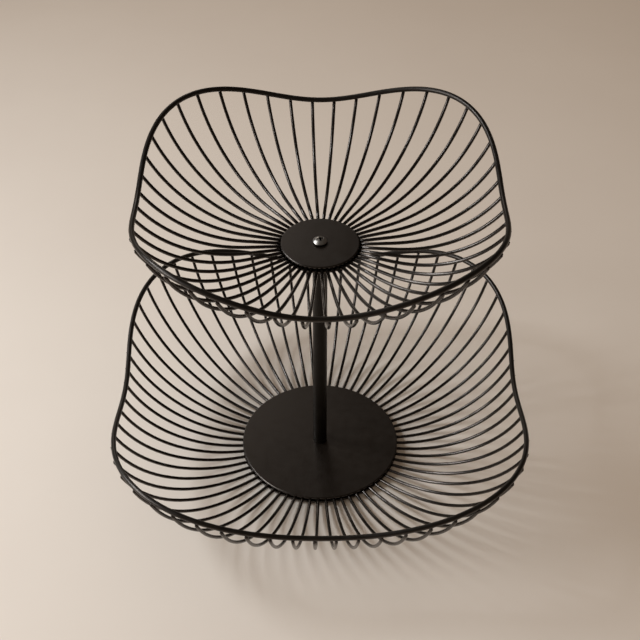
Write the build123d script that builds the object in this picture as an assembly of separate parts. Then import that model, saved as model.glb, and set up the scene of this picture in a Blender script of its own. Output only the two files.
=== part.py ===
from build123d import *
from collections import namedtuple
import math
import os

# A two-tier wire basket: two wire bowls on one round post, clamped by a screw at each end.
# Millimetres. +Z is up, -Y is the front, and the origin is the centre of the footprint.

# Stock that both bowls are made of
wire_diameter = 2.3
rim_diameter = 3.5
plate_thickness = 1.5
plate_bevel = 0.4
weld_gap = 0.08
wire_offset = 2.0
wire_sides = 6
rim_sides = 8

# Shape shared by both rims: a rounded square, high at its corners
corners = 4
first_corner_angle = 45.0

# Lower bowl: each wire runs flat until the floor overhang past its discs, then bends up
lower_disc_diameter = 116.0
lower_wire_count = 64
lower_wire_inner_radius = 46.0
lower_rim_radius = 152.8
lower_rim_swell = 12.4
lower_rim_rise = 69.0
lower_rim_wave = 9.2
lower_floor_overhang = 1.0
lower_floor_bend_radius = 30.0
lower_floor_bend_angle = 2.0
lower_first_wire_share = 0.75
lower_wall_corners = 4

# Upper bowl
upper_disc_diameter = 52.0
upper_wire_count = 48
upper_wire_inner_radius = 20.5
upper_rim_radius = 123.4
upper_rim_swell = 6.9
upper_rim_rise = 47.0
upper_rim_wave = 8.8
upper_floor_overhang = 20.0
upper_floor_bend_radius = 150.0
upper_floor_bend_angle = 3.0
upper_first_wire_share = 0.35
upper_wall_corners = 3

# Post
post_diameter = 10.0
post_length = 183.0
tapped_hole_depth = 14.0

# Screws
screw_diameter = 5.0
screw_length = 16.0
screw_hole_clearance = 0.25
thread_clearance = 0.05
pan_head_diameter = 9.6
pan_head_height = 3.4
pan_head_edge_height = 1.6
pan_head_top_share = 0.6
flat_head_diameter = 9.2
flat_head_height = 2.5
flat_head_gap = 0.1
recess_width = 4.4
recess_slot = 1.0
recess_depth = 1.8

# Foot pads
pad_diameter = 12.0
pad_thickness = 1.7
pad_inset = 5.0

# Cutters run past what they cut by this much
overrun = 1.0

Bowl = namedtuple(
    "Bowl",
    "name disc_radius wire_count first_wire_share inner_radius"
    " rim_radius rim_swell rim_rise rim_wave overhang bend_radius bend_angle wall_corners level",
)

# Heights, from the table up
lower_backing_level = pad_thickness
lower_wire_level = lower_backing_level + plate_thickness + wire_diameter / 2
lower_disc_level = lower_wire_level + wire_diameter / 2
post_level = lower_disc_level + plate_thickness
upper_backing_level = post_level + post_length
upper_wire_level = upper_backing_level + plate_thickness + wire_diameter / 2
upper_disc_level = upper_wire_level + wire_diameter / 2
upper_top_level = upper_disc_level + plate_thickness

# In both bowls the ring of wires stands turned a little from the rim's centre lines
lower_bowl = Bowl(
    name="lower",
    disc_radius=lower_disc_diameter / 2,
    wire_count=lower_wire_count,
    first_wire_share=lower_first_wire_share,
    inner_radius=lower_wire_inner_radius,
    rim_radius=lower_rim_radius,
    rim_swell=lower_rim_swell,
    rim_rise=lower_rim_rise,
    rim_wave=lower_rim_wave,
    overhang=lower_floor_overhang,
    bend_radius=lower_floor_bend_radius,
    bend_angle=lower_floor_bend_angle,
    wall_corners=lower_wall_corners,
    level=lower_wire_level,
)
upper_bowl = Bowl(
    name="upper",
    disc_radius=upper_disc_diameter / 2,
    wire_count=upper_wire_count,
    first_wire_share=upper_first_wire_share,
    inner_radius=upper_wire_inner_radius,
    rim_radius=upper_rim_radius,
    rim_swell=upper_rim_swell,
    rim_rise=upper_rim_rise,
    rim_wave=upper_rim_wave,
    overhang=upper_floor_overhang,
    bend_radius=upper_floor_bend_radius,
    bend_angle=upper_floor_bend_angle,
    wall_corners=upper_wall_corners,
    level=upper_wire_level,
)
side_names = ["right", "back", "left", "front"]
upward = (0, 0, 1)

os.makedirs("parts", exist_ok=True)


def save(name, *solids):
    shape = solids[0] if len(solids) == 1 else Compound(children=list(solids))
    shape.label = name
    export_step(shape, f"parts/{name}.step")


def around(radius, angle, height):
    turn = math.radians(angle)
    return Vector(radius * math.cos(turn), radius * math.sin(turn), height)


def wire_angle(bowl, number):
    return (number + bowl.first_wire_share) * 360 / bowl.wire_count


# The rim's centre line: radius and rise both follow one wave, four times round
def rim_radius_and_rise(bowl, angle):
    wave = math.cos(math.radians(corners * (angle + first_corner_angle)))
    return bowl.rim_radius + bowl.rim_swell * wave, bowl.rim_rise + bowl.rim_wave * wave


# How steeply the rim runs past a wire's end, as a rise along the wire for each unit sideways
def rim_lean(bowl, angle, wire_slope):
    change = corners * math.sin(math.radians(corners * (angle + first_corner_angle)))
    outward = bowl.rim_swell * change
    up = bowl.rim_wave * change
    radius, rise = rim_radius_and_rise(bowl, angle)
    return abs(outward * math.cos(wire_slope) + up * math.sin(wire_slope)) / radius


def arc_centre(start, heading, radius):
    return start[0] - radius * math.sin(heading), start[1] + radius * math.cos(heading)


def arc_end(start, heading, radius, turn):
    centre = arc_centre(start, heading, radius)
    angle = heading + turn
    return centre[0] + radius * math.sin(angle), centre[1] - radius * math.cos(angle)


# Corners of straight runs that touch the arc from outside, the first and last at its two ends
def arc_corners(start, heading, radius, turn, count):
    centre = arc_centre(start, heading, radius)
    half_step = turn / count / 2
    far = radius / math.cos(half_step)
    angles = [heading + half_step + turn * number / count for number in range(count)]
    return [(centre[0] + far * math.sin(a), centre[1] - far * math.cos(a)) for a in angles]


# One wire in its own upright plane: flat between and past the discs, a gentle bend up, and
# a long bend tangent to it that heads for a line just outside the rim and stops below the rim
def wire_outline(bowl, angle):
    bend_start = (bowl.disc_radius + bowl.overhang, 0)
    gentle = math.radians(bowl.bend_angle)
    bend_end = arc_end(bend_start, 0, bowl.bend_radius, gentle)
    # the long bend's radius makes it pass the rim's centre line at the wire offset
    rim_radius, rim_rise = rim_radius_and_rise(bowl, angle)
    across = rim_radius - bend_end[0]
    up = rim_rise - bend_end[1]
    inward = up * math.cos(gentle) - across * math.sin(gentle)
    wall_radius = (across**2 + up**2 - wire_offset**2) / (inward - wire_offset) / 2
    centre = arc_centre(bend_end, gentle, wall_radius)
    end_slope = math.atan2(rim_radius - centre[0], centre[1] - rim_rise)
    # the cut end stays clear of the rim, also where the rim runs down towards one side of it
    lean = rim_lean(bowl, angle, end_slope)
    inner_edge = wire_offset - wire_diameter / 2
    rim_depth = math.sqrt((rim_diameter / 2) ** 2 - inner_edge**2)
    stop = rim_depth * math.hypot(1, lean) + weld_gap
    wall_turn = end_slope - gentle - stop / wall_radius
    cut_end = arc_end(bend_end, gentle, wall_radius, wall_turn)
    floor_bend = arc_corners(bend_start, 0, bowl.bend_radius, gentle, 1)
    wall_bend = arc_corners(bend_end, gentle, wall_radius, wall_turn, bowl.wall_corners)
    return [(bowl.inner_radius, 0), *floor_bend, *wall_bend, cut_end]


def wire(bowl, angle):
    points = [around(r, angle, bowl.level + rise) for r, rise in wire_outline(bowl, angle)]
    section = Plane(origin=points[0], x_dir=upward, z_dir=points[1] - points[0])
    path = Wire.make_polygon(points, close=False)
    outline = section * RegularPolygon(wire_diameter / 2, wire_sides)
    return sweep(outline, path, transition=Transition.RIGHT).solid()


# One straight run from wire to wire, so that each wire meets the rim at a corner of it
def rim(bowl):
    points = []
    for number in range(bowl.wire_count):
        angle = wire_angle(bowl, number)
        radius, rise = rim_radius_and_rise(bowl, angle)
        points.append(around(radius, angle, bowl.level + rise))
    # the section stands halfway along one run, where the path can close on itself
    middle = (points[0] + points[-1]) / 2
    loop = Wire.make_polygon([middle, *points], close=True)
    section = Plane(origin=middle, x_dir=upward, z_dir=points[0] - middle)
    outline = section * RegularPolygon(rim_diameter / 2, rim_sides)
    return sweep(outline, loop, transition=Transition.RIGHT).solid()


def side_of(bowl, angle):
    return side_names[int((angle + first_corner_angle) % 360 // (360 / corners))]


for bowl in (lower_bowl, upper_bowl):
    save(f"{bowl.name}_rim", rim(bowl))
    sides = {side: [] for side in side_names}
    for number in range(bowl.wire_count):
        angle = wire_angle(bowl, number)
        sides[side_of(bowl, angle)].append(wire(bowl, angle))
    for side, wires in sides.items():
        save(f"{bowl.name}_wires_{side}", *wires)

screw_hole_radius = screw_diameter / 2 + screw_hole_clearance


def disc(diameter, level):
    plate = Pos(0, 0, level + plate_thickness / 2) * Cylinder(diameter / 2, plate_thickness)
    return plate - Pos(0, 0, level) * Cylinder(screw_hole_radius, plate_thickness * 2 + overrun)


# The tray discs show: their top edge is bevelled
def tray_disc(diameter, level):
    plate = disc(diameter, level)
    top_edge = plate.faces().sort_by(Axis.Z)[-1].edges().sort_by(SortBy.LENGTH)[-1]
    return chamfer(top_edge, plate_bevel)


# The flat screw head sinks into the lower backing disc
def flat_head_cutter(level):
    wide = flat_head_diameter / 2 + flat_head_gap
    narrow = screw_diameter / 2 + flat_head_gap
    tall = flat_head_height * (wide - narrow) / (flat_head_diameter / 2 - screw_diameter / 2)
    cone = Cone(wide, narrow, tall, align=(Align.CENTER, Align.CENTER, Align.MIN))
    mouth = Cylinder(wide, overrun, align=(Align.CENTER, Align.CENTER, Align.MAX))
    return Pos(0, 0, level) * (cone + mouth)


head_cutter = flat_head_cutter(lower_backing_level)
save("lower_backing_disc", disc(lower_disc_diameter, lower_backing_level) - head_cutter)
save("lower_tray_disc", tray_disc(lower_disc_diameter, lower_disc_level))
save("upper_backing_disc", disc(upper_disc_diameter, upper_backing_level))
save("upper_tray_disc", tray_disc(upper_disc_diameter, upper_disc_level))

# Post: a solid rod with a tapped hole in each end
post = Cylinder(post_diameter / 2, post_length)
tapped_hole = Cylinder(screw_diameter / 2 + thread_clearance, tapped_hole_depth * 2)
for end in (-post_length / 2, post_length / 2):
    post -= Pos(0, 0, end) * tapped_hole
save("post", Pos(0, 0, post_level + post_length / 2) * post)


# A cross recess open at the mouth level
def cross_recess(mouth_level):
    long_arm = Box(recess_width, recess_slot, recess_depth * 2)
    return Pos(0, 0, mouth_level) * (long_arm + Rot(0, 0, 90) * long_arm)


# A pan head is a short barrel with a cone on it, its narrow top recessed
def top_screw():
    half = pan_head_diameter / 2
    upright = (Align.CENTER, Align.CENTER, Align.MIN)
    head = Cylinder(half, pan_head_edge_height, align=upright)
    cone_height = pan_head_height - pan_head_edge_height
    head += Pos(0, 0, pan_head_edge_height) * Cone(half, half * pan_head_top_share, cone_height, align=upright)
    head -= cross_recess(pan_head_height)
    shank = Cylinder(screw_diameter / 2, screw_length, align=(Align.CENTER, Align.CENTER, Align.MAX))
    return Pos(0, 0, upper_top_level) * (head + shank)


def bottom_screw():
    head = Cone(
        flat_head_diameter / 2,
        screw_diameter / 2,
        flat_head_height,
        align=(Align.CENTER, Align.CENTER, Align.MIN),
    )
    shank = Cylinder(screw_diameter / 2, screw_length, align=(Align.CENTER, Align.CENTER, Align.MIN))
    return Pos(0, 0, lower_backing_level) * (head + shank - cross_recess(0))


save("top_screw", top_screw())
save("bottom_screw", bottom_screw())


def foot_pad(angle):
    stand = around(lower_disc_diameter / 2 - pad_inset - pad_diameter / 2, angle, pad_thickness / 2)
    return Pos(*stand) * Cylinder(pad_diameter / 2, pad_thickness)


pad_names = ["back_right", "back_left", "front_left", "front_right"]
for number, name in enumerate(pad_names):
    save(f"foot_pad_{name}", foot_pad(first_corner_angle + number * 360 / corners))
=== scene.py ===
import bpy
import math
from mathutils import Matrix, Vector


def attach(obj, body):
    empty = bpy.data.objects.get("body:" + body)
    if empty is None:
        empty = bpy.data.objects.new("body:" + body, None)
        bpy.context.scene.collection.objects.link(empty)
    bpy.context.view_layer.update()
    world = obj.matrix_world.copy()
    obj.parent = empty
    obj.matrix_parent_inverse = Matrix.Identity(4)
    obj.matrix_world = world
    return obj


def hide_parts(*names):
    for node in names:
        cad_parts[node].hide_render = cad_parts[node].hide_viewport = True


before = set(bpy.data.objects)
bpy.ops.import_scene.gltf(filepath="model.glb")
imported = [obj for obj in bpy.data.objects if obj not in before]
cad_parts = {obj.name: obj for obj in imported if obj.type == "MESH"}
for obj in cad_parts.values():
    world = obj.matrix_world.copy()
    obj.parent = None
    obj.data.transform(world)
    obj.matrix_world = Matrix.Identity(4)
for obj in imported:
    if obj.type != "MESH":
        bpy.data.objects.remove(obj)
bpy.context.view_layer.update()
print("frame loaded")

mm = 0.001
sides = ["right", "back", "left", "front"]


# Materials

def fromHex(text):
    parts = [int(text[i : i + 2], 16) / 255 for i in (1, 3, 5)]
    return [p / 12.92 if p <= 0.04045 else ((p + 0.055) / 1.055) ** 2.4 for p in parts] + [1.0]


def addNode(tree, kind, settings=None, links=None):
    node = tree.nodes.new(kind)
    for name, value in (settings or {}).items():
        if isinstance(name, int) or name in node.inputs:
            node.inputs[name].default_value = value
        else:
            setattr(node, name, value)
    for name, source in (links or {}).items():
        tree.links.new(source, node.inputs[name])
    return node


def newMaterial(name):
    material = bpy.data.materials.new(name)
    material.use_nodes = True
    material.node_tree.nodes.clear()
    return material, material.node_tree


# Cloudy noise whose features are about sizeMm across
def addNoise(tree, place, sizeMm, settings):
    scale = {"Scale": 1 / (sizeMm * mm)}
    return addNode(tree, "ShaderNodeTexNoise", scale | settings, {"Vector": place}).outputs["Fac"]


def addBlend(tree, share, low, high):
    settings = {"data_type": "RGBA", 7: fromHex(high)}
    links = {0: share}
    if isinstance(low, str):
        settings[6] = fromHex(low)
    else:
        links[6] = low
    return addNode(tree, "ShaderNodeMix", settings, links).outputs[2]


def addRange(tree, value, fromLow, fromHigh, toLow, toHigh):
    ends = {"From Min": fromLow, "From Max": fromHigh, "To Min": toLow, "To Max": toHigh}
    return addNode(tree, "ShaderNodeMapRange", ends, {"Value": value}).outputs["Result"]


def addBump(tree, height, strength, depthMm):
    settings = {"Strength": strength, "Distance": depthMm * mm}
    return addNode(tree, "ShaderNodeBump", settings, {"Height": height}).outputs["Normal"]


def addSurface(tree, settings, links):
    shader = addNode(tree, "ShaderNodeBsdfPrincipled", settings, links)
    addNode(tree, "ShaderNodeOutputMaterial", links={"Surface": shader.outputs[0]})


noiseLow, noiseHigh = 0.3, 0.7  # nearly all of a noise lies between these
coatTint = "#fff0e6"  # the black coat reflects a little warmer than it is lit


# Powder coat: near-black with a warm cast, cloudy sheen and fine orange peel
def powderCoat(name, finish):
    material, tree = newMaterial(name)
    place = addNode(tree, "ShaderNodeTexCoord").outputs["Object"]
    clouds = addNoise(tree, place, finish["cloudMm"], {"Detail": 3})
    colour = addBlend(tree, clouds, finish["deep"], finish["pale"])
    specks = addNoise(tree, place, finish["speckMm"], {"Detail": 2})
    speckMask = addRange(tree, specks, 0.62, 0.8, 0, finish["speckLift"])  # only the peaks show
    dusted = addBlend(tree, speckMask, colour, finish["speck"])
    sheen = addNoise(tree, place, finish["sheenMm"], {"Detail": 4})
    rough = addRange(tree, sheen, noiseLow, noiseHigh, finish["roughLow"], finish["roughHigh"])
    peel = addNoise(tree, place, finish["peelMm"], {"Detail": 1.5})
    bump = addBump(tree, peel, finish["peelStrength"], finish["peelDepthMm"])
    shine = {"Specular IOR Level": finish["specular"], "Specular Tint": fromHex(coatTint)}
    addSurface(tree, shine, {"Base Color": dusted, "Roughness": rough, "Normal": bump})
    return material


# Satin coat on drawn wire: smooth enough to give each wire its thin bright streak
wireCoat = powderCoat(
    "satinBlackWireCoat",
    {
        "deep": "#090705",
        "pale": "#110e0b",
        "cloudMm": 14,
        "speck": "#4a443c",
        "speckMm": 0.6,
        "speckLift": 0.35,
        "sheenMm": 12,
        "roughLow": 0.2,
        "roughHigh": 0.26,
        "peelMm": 0.7,
        "peelStrength": 0.04,
        "peelDepthMm": 0.03,
        "specular": 0.7,
    },
)

# The same coat on the thicker rims: a broader, softer sheen where they face the window
rimCoat = powderCoat(
    "satinBlackRimCoat",
    {
        "deep": "#0a0806",
        "pale": "#13100c",
        "cloudMm": 16,
        "speck": "#4a443c",
        "speckMm": 0.7,
        "speckLift": 0.3,
        "sheenMm": 5,
        "roughLow": 0.3,
        "roughHigh": 0.42,
        "peelMm": 0.8,
        "peelStrength": 0.15,
        "peelDepthMm": 0.03,
        "specular": 0.55,
    },
)

# Matt coat on the flat discs: a soft charcoal that mirrors only a blur of the post
discCoat = powderCoat(
    "mattBlackPlateCoat",
    {
        "deep": "#0d0906",
        "pale": "#130e09",
        "cloudMm": 22,
        "speck": "#565048",
        "speckMm": 0.7,
        "speckLift": 0.2,
        "sheenMm": 7,
        "roughLow": 0.28,
        "roughHigh": 0.36,
        "peelMm": 0.8,
        "peelStrength": 0.18,
        "peelDepthMm": 0.04,
        "specular": 0.75,
    },
)

# The same coat on the drawn post: it mirrors least, so it stays dark above the pale floor
postCoat = powderCoat(
    "satinBlackPostCoat",
    {
        "deep": "#080604",
        "pale": "#0f0c08",
        "cloudMm": 18,
        "speck": "#453f38",
        "speckMm": 0.6,
        "speckLift": 0.3,
        "sheenMm": 6,
        "roughLow": 0.4,
        "roughHigh": 0.5,
        "peelMm": 0.8,
        "peelStrength": 0.15,
        "peelDepthMm": 0.03,
        "specular": 0.22,
    },
)


nickel = {
    "pale": "#aaa49d",
    "palest": "#d6d0c9",
    # colour of the painted shade in the recess and low on the head, and the depths below the face
    # over which it comes in
    "dark": "#24211e",
    "darkFromMm": 0.05,
    "darkToMm": 0.3,
    "stainMm": 2.5,
    "roughLow": 0.32,
    "roughHigh": 0.44,
    "ringMm": 1.6,
    "rubMm": 0.35,
    "markStrength": 0.25,
    "markDepthMm": 0.01,
}


# Dark nickel with turned rings and rub marks. The screw's face is part of a ball of this centre
# and radius; painted shade makes the colour dark inside the ball, in the recess and low on the
# head's rim
def darkNickel(name, ballHeight, ballRadius):
    material, tree = newMaterial(name)
    place = addNode(tree, "ShaderNodeTexCoord").outputs["Object"]
    stain = addNoise(tree, place, nickel["stainMm"], {"Detail": 4})
    stainedNickel = addBlend(tree, stain, nickel["pale"], nickel["palest"])
    ball = {"operation": "DISTANCE", 1: (0, 0, ballHeight)}
    fromCentre = addNode(tree, "ShaderNodeVectorMath", ball, {0: place}).outputs["Value"]
    # Painted shade: the colour turns dark where the surface sinks below the face's ball, in the
    # recess and low on the rim
    darkTo, darkFrom = ballRadius - nickel["darkToMm"] * mm, ballRadius - nickel["darkFromMm"] * mm
    sunk = addRange(tree, fromCentre, darkTo, darkFrom, 1, 0)
    colour = addBlend(tree, sunk, stainedNickel, nickel["dark"])
    rough = addRange(tree, stain, noiseLow, noiseHigh, nickel["roughLow"], nickel["roughHigh"])
    wave = {"wave_type": "RINGS", "rings_direction": "Z", "Distortion": 1.5, "Detail": 2}
    wave["Scale"] = 1 / (nickel["ringMm"] * mm)
    rings = addNode(tree, "ShaderNodeTexWave", wave, {"Vector": place}).outputs["Fac"]
    rubs = addNoise(tree, place, nickel["rubMm"], {"Detail": 2})
    halfRings = {"operation": "MULTIPLY_ADD", 1: 0.5}
    marks = addNode(tree, "ShaderNodeMath", halfRings, {0: rings, 2: rubs}).outputs[0]
    bump = addBump(tree, marks, nickel["markStrength"], nickel["markDepthMm"])
    addSurface(tree, {"Metallic": 1.0}, {"Base Color": colour, "Roughness": rough, "Normal": bump})
    return material


rubberFinish = {
    "deep": "#131312",
    "dusty": "#2d2b28",
    "dustMm": 3,
    "roughLow": 0.72,
    "roughHigh": 0.88,
    "grainMm": 0.25,
    "grainStrength": 0.4,
    "grainDepthMm": 0.03,
    "specular": 0.3,
}


# Moulded rubber: dead matt, faintly grey where it has picked up dust
def mouldedRubber(name, finish):
    material, tree = newMaterial(name)
    place = addNode(tree, "ShaderNodeTexCoord").outputs["Object"]
    dust = addNoise(tree, place, finish["dustMm"], {"Detail": 5, "Roughness": 0.65})
    colour = addBlend(tree, dust, finish["deep"], finish["dusty"])
    rough = addRange(tree, dust, noiseLow, noiseHigh, finish["roughLow"], finish["roughHigh"])
    grain = addNoise(tree, place, finish["grainMm"], {"Detail": 2})
    bump = addBump(tree, grain, finish["grainStrength"], finish["grainDepthMm"])
    shine = {"Specular IOR Level": finish["specular"]}
    addSurface(tree, shine, {"Base Color": colour, "Roughness": rough, "Normal": bump})
    return material


rubber = mouldedRubber("mattMouldedRubber", rubberFinish)
print("materials made")


# Mesh helpers

class Shape:
    def __init__(self):
        self.points = []
        self.faces = []

    def ring(self, points):
        first = len(self.points)
        self.points += [tuple(p) for p in points]
        return list(range(first, first + len(points)))

    def join(self, low, high):
        count = len(low)
        for i in range(count):
            j = (i + 1) % count
            self.faces.append((low[i], low[j], high[j], high[i]))

    def cap(self, ring, point, flip=False):
        tip = len(self.points)
        self.points.append(tuple(point))
        for i in range(len(ring)):
            j = (i + 1) % len(ring)
            self.faces.append((ring[j], ring[i], tip) if flip else (ring[i], ring[j], tip))

    def piece(self, name, node, slot, material, sharpDegrees=None):
        mesh = bpy.data.meshes.new(name)
        mesh.from_pydata(self.points, [], self.faces)
        mesh.validate()
        mesh.shade_smooth()
        if sharpDegrees:
            mesh.set_sharp_from_angle(angle=math.radians(sharpDegrees))
        mesh.materials.append(material)
        made = bpy.data.objects.new(name, mesh)
        bpy.context.scene.collection.objects.link(made)
        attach(made, "root")
        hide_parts(node)
        return made


def around(radius, angle, height):
    return Vector((radius * math.cos(angle), radius * math.sin(angle), height))


# A tube through centres, each with the two directions that span its section
def addTube(shape, centres, spans, radii, sideCount, closed=False):
    rings = []
    turns = [2 * math.pi * k / sideCount for k in range(sideCount)]
    for centre, (across, up), radius in zip(centres, spans, radii):
        points = [centre + (across * math.cos(t) + up * math.sin(t)) * radius for t in turns]
        rings.append(shape.ring(points))
    for low, high in zip(rings, rings[1:]):
        shape.join(low, high)
    if closed:
        shape.join(rings[-1], rings[0])
    return rings


# A turned piece: one outline taken round an upright axis, closed where it meets the axis
def addTurned(shape, outline, sideCount, centre=(0, 0)):
    rings = []
    for radius, height in outline:
        if radius == 0:
            rings.append(None)
            continue
        points = [around(radius, 2 * math.pi * k / sideCount, height) for k in range(sideCount)]
        rings.append(shape.ring([p + Vector((centre[0], centre[1], 0)) for p in points]))
    for low, high, (lowSpot, highSpot) in zip(rings, rings[1:], zip(outline, outline[1:])):
        if low and high:
            shape.join(low, high)
        elif low:
            shape.cap(low, (centre[0], centre[1], highSpot[1]))
        else:
            shape.cap(high, (centre[0], centre[1], lowSpot[1]), flip=True)
    return rings


# Bowls

stock = {"wire": 2.3 * mm, "rim": 3.5 * mm, "plate": 1.5 * mm, "wireOffset": 2 * mm}
bendSteps, wallSteps = 3, 20
wireSides, weldSides = 12, 10
rimSides, rimSteps = 20, 360

lowerBowl = {
    "name": "lower",
    "discRadius": 58 * mm,
    "wireCount": 64,
    "firstWire": 0.75,
    "innerRadius": 46 * mm,
    "rimRadius": 152.8 * mm,
    "rimSwell": 12.4 * mm,
    "rimRise": 69 * mm,
    "rimWave": 9.2 * mm,
    "overhang": 1 * mm,
    "bendRadius": 30 * mm,
    "bendAngle": math.radians(2),
    "level": 4.35 * mm,
}
upperBowl = {
    "name": "upper",
    "discRadius": 26 * mm,
    "wireCount": 48,
    "firstWire": 0.35,
    "innerRadius": 20.5 * mm,
    "rimRadius": 123.4 * mm,
    "rimSwell": 6.9 * mm,
    "rimRise": 47 * mm,
    "rimWave": 8.6 * mm,
    "overhang": 20 * mm,
    "bendRadius": 150 * mm,
    "bendAngle": math.radians(3),
    "level": 192.65 * mm,
}


def rimSpot(bowl, angle):
    wave = math.cos(4 * (angle + math.pi / 4))
    return bowl["rimRadius"] + bowl["rimSwell"] * wave, bowl["rimRise"] + bowl["rimWave"] * wave


def rimPoint(bowl, angle):
    radius, rise = rimSpot(bowl, angle)
    return around(radius, angle, bowl["level"] + rise)


def arc(start, heading, radius, turn, steps):
    centre = (start[0] - radius * math.sin(heading), start[1] + radius * math.cos(heading))
    spots = []
    for step in range(1, steps + 1):
        angle = heading + turn * step / steps
        across = centre[0] + radius * math.sin(angle)
        up = centre[1] - radius * math.cos(angle)
        spots.append((across, up, angle))
    return spots


wireStop = 1.85 * mm  # how far short of the arc's nearest point to the rim a wire is cut


# Radius, rise and slope along one wire, in its own upright plane
def wireLine(bowl, angle):
    bendStart = (bowl["discRadius"] + bowl["overhang"], 0.0)
    gentle = bowl["bendAngle"]
    floorBend = arc(bendStart, 0, bowl["bendRadius"], gentle, bendSteps)
    bendEnd = floorBend[-1]
    reach = stock["wireOffset"]
    radius, rise = rimSpot(bowl, angle)
    across, up = radius - bendEnd[0], rise - bendEnd[1]
    inward = up * math.cos(gentle) - across * math.sin(gentle)
    wallRadius = (across**2 + up**2 - reach**2) / (inward - reach) / 2
    centreRadius = bendEnd[0] - wallRadius * math.sin(gentle)
    centreRise = bendEnd[1] + wallRadius * math.cos(gentle)
    endSlope = math.atan2(radius - centreRadius, centreRise - rise)
    stop = wireStop / wallRadius
    wall = arc(bendEnd, gentle, wallRadius, endSlope - gentle - stop, wallSteps)
    return [(bowl["innerRadius"], 0.0, 0.0), (*bendStart, 0.0), *floorBend, *wall]


# Rings past a wire's last full one, as reach and share of its radius: first the edge that the coat
# rounds, then the narrow neck of weld that goes on into the rim
cutEnd = ((0.0, 1.0), (0.12 * mm, 0.96), (0.2 * mm, 0.84), (0.5 * mm, 0.7), (1.5 * mm, 0.5))


def addWire(shape, bowl, angle):
    line = wireLine(bowl, angle)
    radii = [stock["wire"] / 2] * len(line)
    radius, rise, slope = line.pop()
    radii.pop()
    for beyond, share in cutEnd:
        line.append((radius + beyond * math.cos(slope), rise + beyond * math.sin(slope), slope))
        radii.append(share * stock["wire"] / 2)
    outward = around(1, angle, 0)
    sideways = around(1, angle + math.pi / 2, 0)
    upright = Vector((0, 0, 1))
    centres = [outward * radius + upright * (bowl["level"] + rise) for radius, rise, slope in line]
    spans = [
        (sideways, upright * math.cos(slope) - outward * math.sin(slope))
        for radius, rise, slope in line
    ]
    rings = addTube(shape, centres, spans, radii, wireSides)
    shape.cap(rings[0], centres[0], flip=True)
    shape.cap(rings[-1], centres[-1])
    rimCentre = rimPoint(bowl, angle)
    nudge = 0.01  # radians
    along = (rimPoint(bowl, angle + nudge) - rimPoint(bowl, angle - nudge)).normalized()
    away = (centres[-len(cutEnd)] - rimCentre).normalized()
    across = along.cross(away).normalized()
    addWeld(shape, rimCentre + away * stock["rim"] * weld["reach"], along, across, away)


# The saddle's half sizes, and its distance from the rim's centre as a share of the rim's thickness
weld = {"along": 1.9 * mm, "across": 1.2 * mm, "away": 0.65 * mm, "reach": 0.42}
weldLevels = (-0.92, -0.7, -0.35, 0, 0.35, 0.7, 0.92)


# The weld: a low saddle along the rim where the wire meets it
def addWeld(shape, spot, along, across, away):
    rings = []
    turns = [2 * math.pi * k / weldSides for k in range(weldSides)]
    for level in weldLevels:
        wide = math.sqrt(1 - level**2)
        points = [
            spot
            + along * weld["along"] * level
            + across * weld["across"] * wide * math.cos(t)
            + away * weld["away"] * wide * math.sin(t)
            for t in turns
        ]
        rings.append(shape.ring(points))
    for low, high in zip(rings, rings[1:]):
        shape.join(low, high)
    shape.cap(rings[0], spot - along * weld["along"], flip=True)
    shape.cap(rings[-1], spot + along * weld["along"])


def sideOf(angle):
    return sides[int((math.degrees(angle) + 45) % 360 // 90)]


for bowl in (lowerBowl, upperBowl):
    groups = {side: Shape() for side in sides}
    for number in range(bowl["wireCount"]):
        angle = 2 * math.pi * (number + bowl["firstWire"]) / bowl["wireCount"]
        addWire(groups[sideOf(angle)], bowl, angle)
    for side, shape in groups.items():
        node = f"{bowl['name']}_wires_{side}"
        shape.piece(f"{bowl['name']}Wires{side.capitalize()}", node, "black_coat", wireCoat)

    rimShape = Shape()
    centres = [rimPoint(bowl, 2 * math.pi * k / rimSteps) for k in range(rimSteps)]
    spans = []
    for k in range(rimSteps):
        ahead = (centres[(k + 1) % rimSteps] - centres[k - 1]).normalized()
        across = ahead.cross(Vector((0, 0, 1))).normalized()
        spans.append((across, across.cross(ahead)))
    addTube(rimShape, centres, spans, [stock["rim"] / 2] * rimSteps, rimSides, closed=True)
    rimShape.piece(f"{bowl['name']}Rim", f"{bowl['name']}_rim", "black_coat", rimCoat)
print("bowls made")


# Discs

bevelFlatness = 1.6  # 1 is round and 2 is flat: nearly flat, the edge takes one thin bright line
lowEdgeSteps, highEdgeSteps = 4, 8


# Outline round the edge of a plate, from its underside up to its top
def plateEdge(radius, low, high, lowRound, highRound):
    spots = []
    for step in range(lowEdgeSteps + 1):
        turn = math.pi / 2 * step / lowEdgeSteps
        inward, rise = 1 - math.sin(turn), 1 - math.cos(turn)
        spots.append((radius - lowRound * inward, low + lowRound * rise))
    for step in range(highEdgeSteps + 1):
        turn = math.pi / 2 * step / highEdgeSteps
        inward = 1 - math.cos(turn) ** bevelFlatness
        down = 1 - math.sin(turn) ** bevelFlatness
        spots.append((radius - highRound * inward, high - highRound * down))
    return spots


screwHole = 2.75 * mm
holeEdge = 0.15 * mm
flatMargin = 0.1 * mm  # a ring just inside the edge keeps the face beside it flat to the light
faceShares = (0.3, 0.65, 0.9)
discSides = 160


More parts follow.
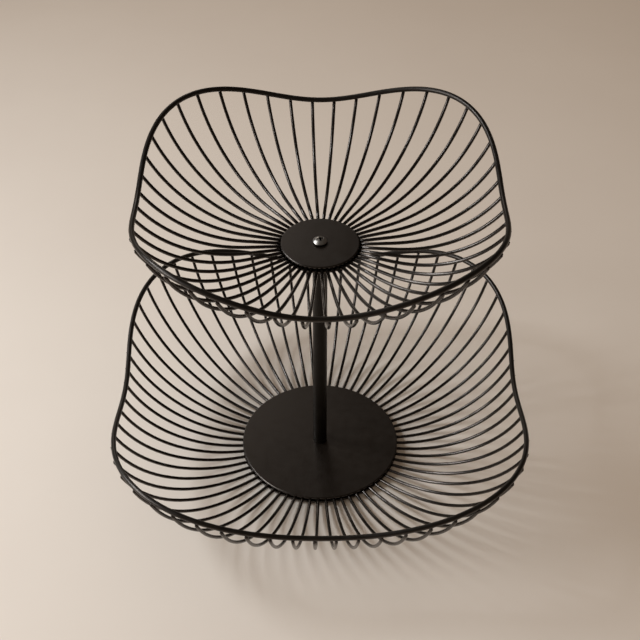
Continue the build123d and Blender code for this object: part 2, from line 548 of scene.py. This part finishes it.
def addDisc(name, node, disc):
    radius, low, high = disc["radius"], disc["low"], disc["low"] + stock["plate"]
    lowRound, highRound = disc["lowRound"], disc["highRound"]
    outline = [(screwHole, high - holeEdge)]
    if "sinkRadius" in disc:
        neck = (screwHole + 0.6 * mm, high - holeEdge * 2)
        outline += [neck, (disc["sinkRadius"], low + 0.02 * mm)]
    else:
        outline += [(screwHole, low + holeEdge), (screwHole + holeEdge, low)]
    outline += [(radius * share, low) for share in faceShares]
    outline.append((radius - lowRound - flatMargin, low))
    outline += plateEdge(radius, low, high, lowRound, highRound)
    outline.append((radius - highRound - flatMargin, high))
    outline += [(radius * share, high) for share in reversed(faceShares)]
    outline += [(screwHole + holeEdge, high), (screwHole, high - holeEdge)]
    shape = Shape()
    addTurned(shape, outline, discSides)
    shape.piece(name, node, "black_coat", discCoat, sharpDegrees=40)


addDisc(
    "lowerBackingDisc",
    "lower_backing_disc",
    {
        "radius": lowerBowl["discRadius"],
        "low": 1.7 * mm,
        "lowRound": 0.2 * mm,
        "highRound": 0.2 * mm,
        "sinkRadius": 4.7 * mm,
    },
)
addDisc(
    "lowerTrayDisc",
    "lower_tray_disc",
    {
        "radius": lowerBowl["discRadius"],
        "low": 5.5 * mm,
        "lowRound": 0.15 * mm,
        "highRound": 0.6 * mm,
    },
)
addDisc(
    "upperBackingDisc",
    "upper_backing_disc",
    {
        "radius": upperBowl["discRadius"],
        "low": 190.0 * mm,
        "lowRound": 0.2 * mm,
        "highRound": 0.2 * mm,
    },
)
addDisc(
    "upperTrayDisc",
    "upper_tray_disc",
    {
        "radius": upperBowl["discRadius"],
        "low": 193.8 * mm,
        "lowRound": 0.15 * mm,
        "highRound": 0.55 * mm,
    },
)
print("discs made")


# Post

post = {
    "radius": 5 * mm,
    "low": 7 * mm,
    "high": 190 * mm,
    "edge": 0.35 * mm,
    "hole": 2.55 * mm,
    "depth": 14 * mm,
    "drillTip": 1.4 * mm,
}
postSides = 96


def addPost():
    low, high, radius = post["low"], post["high"], post["radius"]
    edge, hole, depth, tip = post["edge"], post["hole"], post["depth"], post["drillTip"]
    shape = Shape()
    outline = [(0, low + depth + tip), (hole, low + depth), (hole, low + edge), (hole + edge, low)]
    outline += [(radius - edge, low), (radius, low + edge)]
    outline += [(radius, low + (high - low) * share) for share in (0.25, 0.5, 0.75)]
    outline += [(radius, high - edge), (radius - edge, high)]
    outline += [(hole + edge, high), (hole, high - edge), (hole, high - depth)]
    outline += [(0, high - depth - tip)]
    addTurned(shape, outline, postSides)
    shape.piece("post", "post", "black_coat", postCoat, sharpDegrees=40)


addPost()
print("post made")


# Screws

# How far the edge of a cross recess lies from its centre, in one direction
def crossReach(turn, half, wing):
    turn = turn % (math.pi / 2)
    turn = min(turn, math.pi / 2 - turn)
    return half / math.cos(turn) if turn <= math.atan2(wing, half) else wing / math.sin(turn)


tipSteps, gapSteps = 3, 18


# Directions that catch every corner of the cross
def crossTurns(half, wing):
    corner = math.atan2(wing, half)
    gap = math.pi / 2 - 2 * corner
    turns = []
    for quarter in range(4):
        arm = quarter * math.pi / 2
        turns += [arm + corner * k / tipSteps for k in range(-tipSteps, tipSteps + 1)]
        turns += [arm + corner + gap * k / gapSteps for k in range(1, gapSteps)]
    return turns


threadPitch = 0.8 * mm
threadDepth = 0.4 * mm


# Crests and roots down a threaded stretch
def threadOutline(crest, start, stop):
    heading = 1 if stop > start else -1
    count = int(abs(stop - start) / threadPitch * 2)
    radii = [crest - threadDepth if k % 2 else crest for k in range(count)]
    return [(radii[k], start + heading * k * threadPitch / 2) for k in range(count)]


recessLevels = ((0.45, 0.95), (0.6, 0.8), (0.93, 0.16))  # share of the reach, share of the depth
recessLip = 0.06 * mm
headShares = (0.12, 0.3, 0.5, 0.7, 0.85, 0.95, 1)


# A headed screw: face towards +1 or -1 along Z, its cross recess cut with sloping walls
def addScrew(name, node, screw):
    shape = Shape()
    facing, face, depth = screw["facing"], screw["face"], screw["recessDepth"]
    half, wing, headRadius = screw["recessHalf"], screw["recessWing"], screw["headRadius"]
    turns = crossTurns(half, wing)

    def mouth(turn):
        return crossReach(turn, half, wing)

    def ringAt(reachOf, heightOf):
        return shape.ring(
            [around(reachOf(t), t + screw["twist"], heightOf(reachOf(t))) for t in turns]
        )

    def headReach(turn, share):
        return (mouth(turn) + recessLip) * (1 - share) + headRadius * share

    rings = []
    for share, sunk in recessLevels:
        rings.append(ringAt(lambda t: mouth(t) * share, lambda r: face(r) - facing * sunk * depth))
    rings.append(ringAt(mouth, lambda r: face(r) - facing * 0.05 * mm))
    rings.append(ringAt(lambda t: mouth(t) + recessLip, face))
    for share in headShares:
        rings.append(ringAt(lambda t: headReach(t, share), face))
    for radius, height in screw["below"]:
        rings.append(ringAt(lambda t: radius, lambda r: height))
    for outer, inner in zip(rings[1:], rings):
        first, second = (outer, inner) if facing > 0 else (inner, outer)
        shape.join(first, second)
    shape.cap(rings[0], (0, 0, face(0) - facing * 1.1 * depth), flip=facing < 0)
    shape.cap(rings[-1], (0, 0, screw["tip"]), flip=facing > 0)
    shape.piece(name, node, "dark_plated_steel", screw["metal"], sharpDegrees=35)


shankRadius = 2.5 * mm
headBase = 195.3 * mm
headRise = 3.4 * mm
headEdge = 4.8 * mm
domeDrop = 2.1 * mm  # how far the dome falls from its middle to the head's edge
domeRadius = (headEdge**2 + domeDrop**2) / (2 * domeDrop)


def domeHeight(radius):
    drop = domeRadius - math.sqrt(domeRadius**2 - radius**2)
    return headBase + headRise - drop


addScrew(
    "topScrew",
    "top_screw",
    {
        "facing": 1,
        "headRadius": 4.72 * mm,
        "recessHalf": 2.3 * mm,
        "recessWing": 0.62 * mm,
        "recessDepth": 1.8 * mm,
        "twist": math.radians(14),
        "face": domeHeight,
        "below": [
            (headEdge, headBase + 1.2 * mm),
            (headEdge, headBase + 0.25 * mm),
            (4.55 * mm, headBase),
            (shankRadius, headBase),
            *threadOutline(shankRadius, headBase - 5.5 * mm, headBase - 15.2 * mm),
            (1.9 * mm, headBase - 16 * mm),
        ],
        "tip": headBase - 16 * mm,
        "metal": darkNickel("darkNickelTopScrew", headBase + headRise - domeRadius, domeRadius),
    },
)

flatBase = 1.7 * mm
addScrew(
    "bottomScrew",
    "bottom_screw",
    {
        "facing": -1,
        "headRadius": 4.5 * mm,
        "recessHalf": 2.2 * mm,
        "recessWing": 0.5 * mm,
        "recessDepth": 1.8 * mm,
        "twist": math.radians(31),
        "face": lambda radius: flatBase,
        "below": [
            (4.6 * mm, flatBase + 0.1 * mm),
            (4.6 * mm, flatBase + 0.2 * mm),
            (shankRadius, flatBase + 2.5 * mm),
            *threadOutline(shankRadius, flatBase + 5.5 * mm, flatBase + 15.2 * mm),
            (1.9 * mm, flatBase + 16 * mm),
        ],
        "tip": flatBase + 16 * mm,
        "metal": darkNickel("darkNickelBottomScrew", flatBase + 100 * mm, 100 * mm),
    },
)
print("screws made")


# Foot pads, each with a shallow hollow underneath

pad = {
    "radius": 6 * mm,
    "height": 1.7 * mm,
    "lowRound": 0.5 * mm,
    "highRound": 0.15 * mm,
    "hollow": 0.12 * mm,
    "hollowEdge": 0.1 * mm,
    "lip": 1.4 * mm,
    "reach": 47 * mm,
}
padSides = 64


def addPad(name, node, angle):
    spot = around(pad["reach"], angle, 0)
    radius, height = pad["radius"], pad["height"]
    outline = [(0, pad["hollow"]), (radius * 0.5, pad["hollowEdge"]), (radius - pad["lip"], 0)]
    outline += plateEdge(radius, 0, height, pad["lowRound"], pad["highRound"])
    outline += [(radius * 0.5, height), (0, height)]
    shape = Shape()
    addTurned(shape, outline, padSides, (spot.x, spot.y))
    shape.piece(name, node, "black_rubber", rubber, sharpDegrees=40)


for number, corner in enumerate(["back_right", "back_left", "front_left", "front_right"]):
    words = "".join(word.capitalize() for word in corner.split("_"))
    addPad(f"footPad{words}", f"foot_pad_{corner}", math.radians(45 + 90 * number))
print("pads made")


# Floor, light and camera

plaster = {
    "deep": "#d2cac2",
    "pale": "#dad3cb",
    "patchMm": 180,
    "grainMm": 1.5,
    "grainStrength": 0.15,
    "grainDepthMm": 0.1,
    "rough": 0.8,
    "specular": 0.2,
}


def plasterFloor(name, finish):
    material, tree = newMaterial(name)
    place = addNode(tree, "ShaderNodeTexCoord").outputs["Object"]
    patches = addNoise(tree, place, finish["patchMm"], {"Detail": 5, "Roughness": 0.55})
    colour = addBlend(tree, patches, finish["deep"], finish["pale"])
    grain = addNoise(tree, place, finish["grainMm"], {"Detail": 3})
    bump = addBump(tree, grain, finish["grainStrength"], finish["grainDepthMm"])
    dull = {"Roughness": finish["rough"], "Specular IOR Level": finish["specular"]}
    addSurface(tree, dull, {"Base Color": colour, "Normal": bump})
    return material


floorMesh = bpy.data.meshes.new("floor")
floorSides = 96
floorRadius = 2.5
floorSpots = [around(floorRadius, 2 * math.pi * k / floorSides, 0) for k in range(floorSides)]
floorMesh.from_pydata(floorSpots, [], [tuple(range(floorSides))])
floorMesh.materials.append(plasterFloor("palePlasterFloor", plaster))
floor = bpy.data.objects.new("floor", floorMesh)
bpy.context.scene.collection.objects.link(floor)

world = bpy.data.worlds.new("studioWorld")
bpy.context.scene.world = world
world.use_nodes = True
sky = world.node_tree
sky.nodes.clear()


def addSky(colour, strength):
    settings = {"Color": fromHex(colour), "Strength": strength}
    return addNode(sky, "ShaderNodeBackground", settings).outputs[0]


def addSwitch(ray, other, chosen):
    links = {0: path.outputs[ray], 1: other, 2: chosen}
    return addNode(sky, "ShaderNodeMixShader", links=links).outputs[0]


path = addNode(sky, "ShaderNodeLightPath")
lit = addSwitch("Is Glossy Ray", addSky("#f5dcc2", 0.44), addSky("#f0dcc8", 0.06))
seen = addSwitch("Is Camera Ray", lit, addSky("#d9d0c6", 1))
addNode(sky, "ShaderNodeOutputWorld", links={"Surface": seen})


def addSoftbox(name, box):
    light = bpy.data.lights.new(name, "AREA")
    light.shape = "RECTANGLE"
    light.size, light.size_y = box["size"]
    light.energy = box["watts"]
    light.spread = math.radians(box["spread"])
    light.color = fromHex(box["colour"])[:3]
    made = bpy.data.objects.new(name, light)
    made.location = box["place"]
    heading = Vector(box["aim"]) - Vector(box["place"])
    made.rotation_euler = heading.to_track_quat("-Z", "Y").to_euler()
    bpy.context.scene.collection.objects.link(made)


addSoftbox(
    "keyWindow",
    {
        "place": (-1.43, 0.3, 1.3),
        "aim": (-0.4, -0.03, 0),
        "size": (0.45, 0.45),
        "watts": 3.3,
        "spread": 70,
        "colour": "#f5fbff",
    },
)
addSoftbox(
    "fillLeft",
    {
        "place": (-1.4, -0.5, 0.7),
        "aim": (-0.4, -0.2, 0.05),
        "size": (0.5, 0.4),
        "watts": 3.2,
        "spread": 90,
        "colour": "#fcfeff",
    },
)
addSoftbox(
    "glowBack",
    {
        "place": (-0.4, 1.4, 0.95),
        "aim": (-0.05, 0, 0.1),
        "size": (0.6, 0.5),
        "watts": 0.4,
        "spread": 80,
        "colour": "#fbf3ea",
    },
)

photoWidth = 640  # pixels
focalPixels = 1274.9
tiltDown = 41.72  # degrees below level

camera = bpy.data.cameras.new("camera")
camera.sensor_width = 36
camera.lens = camera.sensor_width * focalPixels / photoWidth
camera.shift_y = 1 / photoWidth
cameraObject = bpy.data.objects.new("camera", camera)
cameraObject.location = (0, -0.6582, 0.7129)
cameraObject.rotation_euler = (math.radians(90 - tiltDown), 0, 0)
bpy.context.scene.collection.objects.link(cameraObject)
bpy.context.scene.camera = cameraObject
bpy.context.scene.view_settings.view_transform = "Standard"
print("stage, light and camera made")
